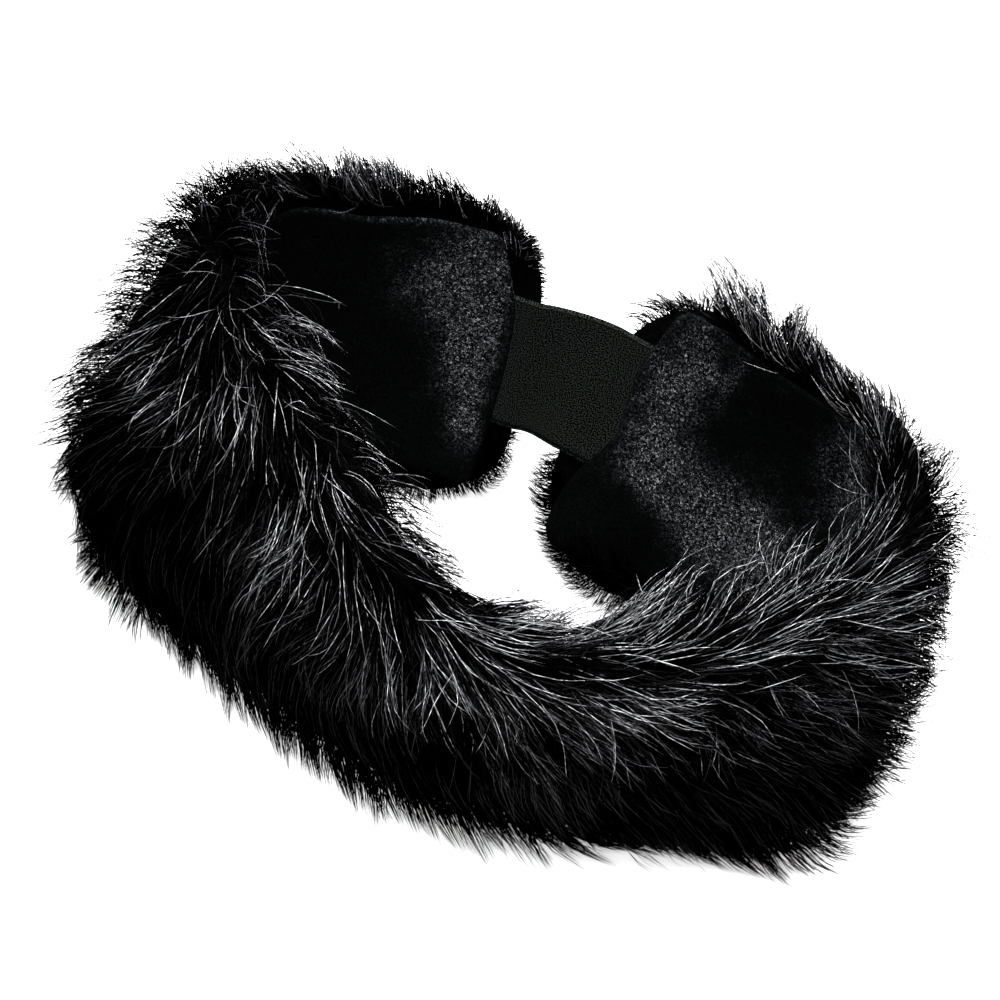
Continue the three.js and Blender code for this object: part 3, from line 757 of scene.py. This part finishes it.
def growth():
    """How thick the pile grows over the table."""
    dense = 1
    for amount, where in thicker():
        dense = dense + amount * where
    below, above = ELASTIC_ROOM
    behind_elastic = (sides < ELASTIC_SIDE) & (from_end < ELASTIC_TUCK) & (
        heights_mm > ELASTIC_LOW - below) & (heights_mm < ELASTIC_HIGH + above)
    inset = np.where(shares_along < 0.5, inset_of(LINING_LEFT_END, ups), inset_of(LINING_RIGHT_END, ups))
    under_lining = (sides < INWARDS) & (ups > LINED_FROM) & (ups < LINED_TO) & (from_end > inset - 0.5)
    bare = (from_end < 0) | behind_elastic | under_lining
    pressed = (normals[..., 2] < PRESSED_FACING) & (heights_mm < PRESSED_HEIGHT)
    return np.where(bare, 0.0, dense) * np.where(pressed, PRESSED_SHARE, 1)


def roots(count, density):
    """Places for hair roots, scattered evenly over the skin and weighted by density."""
    cell = density * rings[:, None]
    total = np.cumsum(cell.ravel())
    picked = np.searchsorted(total, (np.arange(count) + chance.random(count)) / count * total[-1])
    i, j = np.divmod(np.minimum(picked, cell.size - 1), ROUND)
    u = places[i] + (chance.random(count) - 0.5) * STEP
    q = (j + chance.random(count) - 0.5) / ROUND
    return np.clip(u, 0, BAND_LENGTH), q


grows = growth()

# -------- the pile's ways from place to place
# How long and how raised the pile is at shares round the section: pressed short at the foot.
ROUND_SHARES = [0, 0.06, 0.3, 0.42, 0.5, 0.6, 0.88, 0.94, 1]
ROUND_LENGTHS = [1, 1, 0.95, 0.7, 0.65, 1.15, 0.55, 0.85, 1]
ROUND_LIFTS = [1, 1, 0.9, 0.6, 1.3, 2.1, 1, 1.1, 1]
# And how raised it is at places along the band: more at the back corner and the right temple. This
# holds on the outer face and the rim only.
LIFT_PLACES = [0.02, 0.1, 0.17, 0.2, 0.25, 0.32, 0.62, 0.74, 0.8, 0.85, 0.9, 0.98]
LIFTS = [0.8, 0.9, 1.5, 1.7, 1.6, 1, 1, 1.5, 1.6, 0.45, 1.5, 1.3]
LIFT_SHARES, LIFT_HOLDS = [0, 0.3, 0.4, 0.9, 1], [1, 1, 0, 0, 1]
# And how long, which holds on the right flap near its upper rim only.
LONG_PLACES = [0.05, 0.14, 0.18, 0.23, 0.27, 0.3, 0.76, 0.79, 0.82, 0.88, 0.92, 0.96]
LONGS = [0.6, 0.85, 1.1, 1.2, 1.25, 1, 1, 1.2, 0.6, 0.6, 1.7, 1.5]
RIGHT_FLAP = 0.85
RIM_SHARES, AT_RIM = [0, 0.06, 0.14, 0.86, 0.94, 1], [1, 0.7, 0, 0, 1, 1]
# How much painted highlight shows in the hairs' colour, at shares round and at places along: most on the
# upper rim and the ridges that face the light, least low on the outer face, which lies in shade.
SHINE_SHARES = [0, 0.1, 0.2, 0.3, 0.45, 0.85, 0.95, 1]
SHINES = [1.1, 0.9, 0.38, 0.19, 0.14, 0.3, 1.1, 1.1]
SHINE_PLACES = [0.15, 0.22, 0.26, 0.38, 0.44, 0.56, 0.62, 0.78, 0.84, 0.93]
PLACE_SHINES = [0.75, 0.9, 1.15, 1.35, 1.0, 0.95, 1.15, 0.88, 0.85, 1.3]
# How freely hairs turn and wave: the lower part of the outer face hangs straighter.
CALM_SHARES, CALMS = [0, 0.12, 0.24, 0.44, 0.6, 1], [1, 1, 0.35, 0.35, 1, 1]
# Over the brow, where it leans inwards, the pile is longer and more raised.
BROW_SHARES, AT_BROW = [0, 0.05, 0.85, 0.92, 1], [0.5, 0, 0, 1, 0.5]
BROW_LONG, BROW_LIFT = 0.3, 0.5
# The temple's fuzz is shorter, more raised, turned at random (in radians) and carries less painted
# highlight.
FUZZ_SHORT, FUZZ_LIFT, FUZZ_TURN, FUZZ_DIM = 0.5, 0.5, 1.2, 0.3
# The brow's parting carries more painted highlight.
PARTING_SHINE = 0.4
# Longest pile at the floor, more for each mm up, and more on the foot's inner side.
FLOOR_LONGEST, LONGER_UP, LONGER_INSIDE = 9.0, 1.1, 9.0

END_REACH = 118.0  # how far the flatter pile of the band's ends reaches
SWELL_WAVE, SWELL_LONG, SWELL_LIFT = 34.0, 0.12, 0.5  # slow changes of the pile's length and lift
LOOSE_TURN, LOOSE_LIFT = 1.5, 12.0  # how much more a loose hair turns and is raised
CROWN, CROWN_SOFT = 119.0, 9.0  # above this height the pile is smoothed down, more the higher it is
FRONT, BACK, PLAN_SOFT = -112.5, 86.0, 4.5  # and likewise past these lines before the brow and behind
FLOOR_LEAST = 0.25  # nothing of the fur lies lower than this
EASED = 6  # rounds of smoothing that take the kinks out of a hair


def length_at(along, share, to_end, height):
    """Length of the pile at places on the band, as a share of the full one."""
    close = 0.2 + 0.1 * smooth(1 - height / 70)
    close = close + (1 - close) * smooth(to_end / 38)
    longer = np.interp(along, LONG_PLACES, LONGS)
    at_rim = np.interp(share, RIM_SHARES, AT_RIM)
    longer = np.where(along > RIGHT_FLAP, 1 + (longer - 1) * at_rim, longer)
    low_left = np.exp(-((along - 0.3) / 0.08) ** 4) * smooth((share - 0.24) / 0.1) * (share < 0.52)
    low_right = (along > 0.86) & inner_foot(share)
    at_end = smooth((END_REACH - to_end) / 40)
    over = np.interp(share, ROUND_SHARES, ROUND_LENGTHS) * close * longer
    return over * (1 - 0.3 * low_left) * (1 + 0.35 * low_right) * (1 - 0.22 * at_end), close


def stand_at(share, to_end):
    """Share of its lean that a hair keeps to its tip. Round the foot's inner edge and round the flaps
    the pile bristles instead of lying over."""
    at_rim = np.interp(share, RIM_SHARES, AT_RIM)
    foot = 0.85 * ((share > 0.5) & (share < 0.78)) * smooth(2 - to_end / 60)
    end = (0.3 + 0.3 * at_rim) * smooth(1 - to_end / 30)
    flap = 0.4 * smooth(1 - (to_end - 60) / 40) * at_rim
    return np.maximum(np.maximum(foot, end), flap)


# Tufts: hairs that lie together share one turn, length, lift and bow, and close up to their tips.
TUFTS = 1900
TUFT_HEIGHT = 6.0  # hairs belong to the tuft that is nearest to them this far off the skin
tuft_u, tuft_q = roots(TUFTS, grows)
tuft_turn = chance.normal(0, math.radians(12), TUFTS)
tuft_length = 1 + chance.normal(0, 0.12, TUFTS)
tuft_rise = 1 + chance.normal(0, 0.3, TUFTS)
tuft_bow = unit(chance.normal(size=(TUFTS, 1, 3)))


def tree_of(spots):
    tree = kdtree.KDTree(len(spots))
    for number, spot in enumerate(spots):
        tree.insert(spot, number)
    tree.balance()
    return tree


tuft_point, tuft_normal = read(tuft_u, tuft_q)[:2]
tuft_tree = tree_of(tuft_point + tuft_normal * TUFT_HEIGHT)

# Hairs near an end that would run closer to the elastic than this are left out.
ELASTIC_CLEAR, ELASTIC_NEAR = 1.6, 45.0
plan_middle = Vector((*PLAN_MIDDLE, 0))
elastic_tree = tree_of([v.co / MM + plan_middle for v in elastic.data.vertices])


def held(values, low, high, soft):
    """Values from low to high, past which they run on by less than soft."""
    inside = np.clip(values, low, high)
    past = values - inside
    return inside + np.sign(past) * soft * (1 - np.exp(-np.abs(past) / soft))


def pile(count, density, length, rise, spread, firm, gather, stray, curl):
    """Hairs of one kind, sorted along the band: their points in millimetres, and how much painted
    highlight their colour shows. rise and spread are in degrees, gather is how far tufts close up, stray
    the share of loose hairs, and curl how far in millimetres a hair bows."""
    u, q = roots(count, density)
    order = np.argsort(u)
    u, q = u[order], q[order]
    along, share = u / BAND_LENGTH, q % 1
    to_end = np.minimum(u, BAND_LENGTH - u)
    point, normal = read(u, q)[:2]
    tuft = np.array([tuft_tree.find(spot)[1] for spot in point + normal * TUFT_HEIGHT])
    loose = chance.random(count) < stray
    swell = waves(u, q * RING, SWELL_WAVE, 8)
    fuzz = patch(along, q, *TEMPLE)
    brow = np.exp(-((along - BROW) / BROW_REACH) ** 4) * np.interp(share, BROW_SHARES, AT_BROW)

    shape, close = length_at(along, share, to_end, point[:, 2])
    long = length * shape * tuft_length[tuft] * chance.uniform(0.8, 1.15, count)
    long = long * (1 + SWELL_LONG * swell) * (1 + BROW_LONG * brow)
    longest = FLOOR_LONGEST + LONGER_UP * point[:, 2] + LONGER_INSIDE * inner_foot(share)
    long = np.minimum(long, longest) * (1 - FUZZ_SHORT * fuzz)

    up_by = np.interp(along, LIFT_PLACES, LIFTS)
    up_by = 1 + (up_by - 1) * np.interp(share, LIFT_SHARES, LIFT_HOLDS)
    up_by = up_by * (1 + BROW_LIFT * brow) * np.interp(share, ROUND_SHARES, ROUND_LIFTS)
    lift = rise * tuft_rise[tuft] * (1 + SWELL_LIFT * swell) * up_by
    lift = np.radians(np.clip(lift + chance.normal(0, 6, count) + LOOSE_LIFT * loose, 6, 70))
    lift = np.minimum(lift * (1 + FUZZ_LIFT * fuzz), 1.2)

    calm = np.interp(share, CALM_SHARES, CALMS)
    turn = tuft_turn[tuft] + chance.normal(0, math.radians(spread), count) * (1 + LOOSE_TURN * loose)
    turn = calm * turn + fuzz * chance.normal(0, FUZZ_TURN, count)
    stand = stand_at(share, to_end)

    own = comb(u, q, turn, long, lift, firm, stand)
    tuft_calm = np.interp(tuft_q % 1, CALM_SHARES, CALMS)
    guide = comb(tuft_u, tuft_q, tuft_turn * tuft_calm, length * tuft_length,
                 np.radians(np.clip(rise * tuft_rise, 8, 55)), firm, 0 * tuft_u)[tuft]
    run = np.linspace(0, 1, own.shape[1])[None, :, None]
    pull = gather * chance.uniform(0.5, 1.2, count) * (1 - np.maximum(stand, fuzz))
    pull = np.where(loose, 0, pull)[:, None, None]
    paths = own + (guide - own) * np.clip(pull, 0, 0.9) * run ** 1.4 * close[:, None, None]
    for _ in range(EASED):
        paths[:, 1:-1] = (paths[:, :-2] + 2 * paths[:, 1:-1] + paths[:, 2:]) / 4
    bow = unit(tuft_bow[tuft] + 0.9 * unit(chance.normal(size=(count, 1, 3))))
    wave = unit(chance.normal(size=(count, 1, 3)))
    swing = curl * chance.uniform(0.3, 1, (count, 1, 1)) * (calm * long / length)[:, None, None]
    paths = paths + swing * (bow * np.sin(np.pi * run) + 0.45 * wave * np.sin(2.4 * np.pi * run))
    paths[:, :, 1] = held(paths[:, :, 1], FRONT, BACK, PLAN_SOFT)
    paths[:, :, 2] = np.maximum(held(paths[:, :, 2], 0, CROWN, CROWN_SOFT), FLOOR_LEAST)

    # Painted highlight and shade: paler hairs where the pile faces the light, darker ones where it lies
    # in shade.
    painted_shine = np.interp(share, SHINE_SHARES, SHINES) * np.interp(along, SHINE_PLACES, PLACE_SHINES)
    painted_shine = painted_shine * (1 - FUZZ_DIM * fuzz) * (1 + PARTING_SHINE * patch(along, q, *PARTING))
    clear = np.ones(count, bool)
    for i in np.flatnonzero(to_end < ELASTIC_NEAR):
        clear[i] = min(elastic_tree.find(spot)[2] for spot in paths[i]) > ELASTIC_CLEAR
    return paths[clear], painted_shine[clear]


# -------- strands
STRAND_RUN, STRAND_THICK = [0, 0.3, 0.7, 1], [0.8, 1, 0.7, 0]  # thickness from root to tip


def strands(name, paths, radius, tones):
    """One closed three-sided tapering tube for each hair, with its strand map."""
    count, stops, _ = paths.shape
    share = np.linspace(0, 1, stops)
    run = unit(np.gradient(paths, axis=1))
    aside = unit(chance.normal(size=(count, 1, 3)))
    first = unit(np.cross(run, aside))
    second = np.cross(run, first)
    thick = np.interp(share, STRAND_RUN, STRAND_THICK)[None, :, None] * radius
    corners = [paths + thick * (first * math.cos(a) + second * math.sin(a))
               for a in (0, 2 * math.pi / 3, 4 * math.pi / 3)]
    rings_of = np.stack(corners, axis=2)[:, :-1].reshape(count, -1, 3)
    all_points = np.concatenate([rings_of, paths[:, -1:]], axis=1)
    faces, tip = [[0, 2, 1]], 3 * (stops - 1)
    for j in range(stops - 2):
        for a, b in ((0, 1), (1, 2), (2, 0)):
            faces.append([3 * j + a, 3 * j + b, 3 * j + 3 + b, 3 * j + 3 + a])
    top = 3 * (stops - 2)
    faces += [[top, top + 1, tip], [top + 1, top + 2, tip], [top + 2, top, tip]]
    corner_of = np.concatenate(faces)
    sizes = np.tile([len(f) for f in faces], count)
    per = all_points.shape[1]
    loops = (corner_of[None, :] + (np.arange(count) * per)[:, None]).ravel()
    obj = mesh_of(name, place_in_part(all_points.reshape(-1, 3)), loops, sizes)
    heights_of = np.append(np.repeat(share[:-1], 3), 1.0)[corner_of]
    strand_map = np.empty((count, len(corner_of), 2), np.float32)
    strand_map[..., 0] = tones[:, None]
    strand_map[..., 1] = 0.02 + 0.96 * heights_of[None, :]
    layer = obj.data.uv_layers.new(name="strand")
    layer.uv.foreach_set("vector", strand_map.ravel())
    return obj


def thinned(paths, stops):
    """The same hairs with fewer points, at even steps."""
    return paths[:, np.linspace(0, paths.shape[1] - 1, stops).round().astype(int)]


# -------- fur
BACKING_COLUMNS, BACKING_AROUND = 230, 60
PUFFED_BACKING = 0.9  # share of the pile's puff that its dense lower part fills, above the lining
SKIN_IN = 1.5  # the backing lies this far inside the pile's skin, which leaves room for the elastic


def fur_backing():
    """The pile cloth's body: one closed skin round the whole section."""
    columns, around = BACKING_COLUMNS, BACKING_AROUND
    along = drawn_to_ends(np.linspace(0, 1, columns + 1), 0.7)[:, None]
    turns = np.linspace(0, 2 * np.pi, around, endpoint=False)[None, :]
    body, _, up, _ = skin(along, turns, SKIN_IN)
    step = np.linalg.norm(np.roll(body, -1, axis=1) - body, axis=2)
    share = (np.cumsum(step, axis=1) - step) / step.sum(axis=1, keepdims=True)
    run = np.broadcast_to(along * BAND_LENGTH, share.shape)
    normal = read(run.ravel(), share.ravel())[1].reshape(body.shape)
    rise = PUFFED_BACKING * puffed(along, share) * smooth((up - 1.01) / 0.06)
    body = body + normal * rise[..., None]
    body[..., 2] = np.maximum(body[..., 2], FLOOR_LEAST)
    k = np.arange(around)
    faces = []
    for c in range(columns):
        a, b = c * around + k, c * around + (k + 1) % around
        faces.append(np.stack([b, a, a + around, b + around], 1))
    last = columns * around
    loops = np.concatenate([np.concatenate(faces).ravel(), k, last + k[::-1]])
    sizes = np.concatenate([np.full(last, 4), [around, around]])
    return mesh_of("fur_backing", place_in_part(body.reshape(-1, 3)), loops, sizes)


backing = finish_piece(fur_backing(), backing_material())
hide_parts("fur_band")

# Where the pale guard hairs, whose paleness is painted highlight, grow thicker: in drifts, and less
# towards the lower rim, which lies in shade, and the ends.
DRIFT_WAVE = 42.0
PALE_ROUND = [0, 0.1, 0.2, 0.3, 0.42, 0.6, 0.86, 0.9, 1], [1.4, 1.1, 0.7, 0.45, 0.3, 0.2, 0.8, 1.7, 1.6]
PALE_ALONG = [0.12, 0.2, 0.4, 0.55, 0.64, 0.8, 0.88], [1.5, 0.9, 1, 1, 1.35, 1.1, 1.5]
drifts = np.clip(1 + 0.8 * waves(places[:, None], rounds[None, :] * RING, DRIFT_WAVE, 5), 0.12, 2)
pale_grows = grows * drifts * np.interp(rounds, *PALE_ROUND) * np.interp(shares_along, *PALE_ALONG)

# Name, material, radius in mm, points to a hair, pieces and the hairs of each kind of fibre.
FUR = [
    ("guard_hair", guard_hair, 0.105, 7, 2,
     pile(9800, pale_grows, 27, 30, 11, 0.55, 0.5, 0.14, 2.4)),
    ("overhair", overhair, 0.15, 4, 3, pile(25000, grows, 26, 27, 9, 0.55, 0.65, 0.06, 1.5)),
    ("underfur", underfur_hair, 0.18, 3, 2, pile(18000, grows, 15, 36, 20, 0.45, 0.5, 0.05, 0.9)),
]
for kind, material, radius, stops, parts, (paths, painted_shine) in FUR:
    # Each strand's tone is random, scaled by the painted highlight of its place.
    tones = chance.random(len(paths)) * painted_shine
    for number, rows in enumerate(np.array_split(np.arange(len(paths)), parts), 1):
        piece = strands(f"{kind}_{number}", thinned(paths[rows], stops), radius, tones[rows])
        finish_piece(piece, material)


# -------- studio
def soft_light(name, place, aim, width, height, watts):
    data = bpy.data.lights.new(name, "AREA")
    data.shape = "RECTANGLE"
    data.size, data.size_y, data.energy = width, height, watts
    obj = bpy.data.objects.new(name, data)
    obj.location = place
    obj.rotation_mode = "QUATERNION"
    obj.rotation_quaternion = (Vector(aim) - Vector(place)).to_track_quat("-Z", "Y")
    bpy.context.scene.collection.objects.link(obj)
    return obj


def studio():
    clear_selection()
    bpy.ops.mesh.primitive_plane_add(size=6, location=(0, 0, 0))
    floor = bpy.context.object
    floor.name = "floor"
    # Opal acrylic, lit a little from below, which leaves only a faint shadow.
    floor.data.materials.append(new_material(
        "opal_acrylic_light_table", Roughness=0.9, Base_Color=linear("#f2f2f2"),
        Emission_Color=linear("#ffffff"), Emission_Strength=0.7)[0])
    world = bpy.data.worlds.new("studio")
    world.use_nodes = True
    world.node_tree.nodes["Background"].inputs["Color"].default_value = (1, 1, 1, 1)
    world.node_tree.nodes["Background"].inputs["Strength"].default_value = 0.62
    bpy.context.scene.world = world
    bpy.context.scene.view_settings.view_transform = "Standard"
    soft_light("key_light", (-0.25, -0.08, 1.15), (0, 0, 0.04), 0.75, 0.6, 40)
    soft_light("fill_light", (0.75, 0.1, 0.9), (0, 0, 0.05), 0.5, 0.5, 6)


CAMERA_HEIGHT_ANGLE, CAMERA_ROLL = 50.0, 22.0
CAMERA_DISTANCE, CAMERA_LENS = 0.75, 89.64
CAMERA_AIM = (-0.0042, 0.0127, 0.055)


def camera():
    e, roll = math.radians(CAMERA_HEIGHT_ANGLE), math.radians(CAMERA_ROLL)
    onwards = Vector((0, math.cos(e), -math.sin(e)))
    right = Vector((1, 0, 0))
    up = right.cross(onwards)
    across = right * math.cos(roll) + up * math.sin(roll)
    above = up * math.cos(roll) - right * math.sin(roll)
    data = bpy.data.cameras.new("camera")
    data.sensor_width, data.lens = 36, CAMERA_LENS
    data.clip_start, data.clip_end = 0.01, 20
    obj = bpy.data.objects.new("camera", data)
    obj.matrix_world = Matrix.Translation(Vector(CAMERA_AIM) - onwards * CAMERA_DISTANCE) @ Matrix(
        (across, above, -onwards)).transposed().to_4x4()
    bpy.context.scene.collection.objects.link(obj)
    bpy.context.scene.camera = obj


studio()
camera()
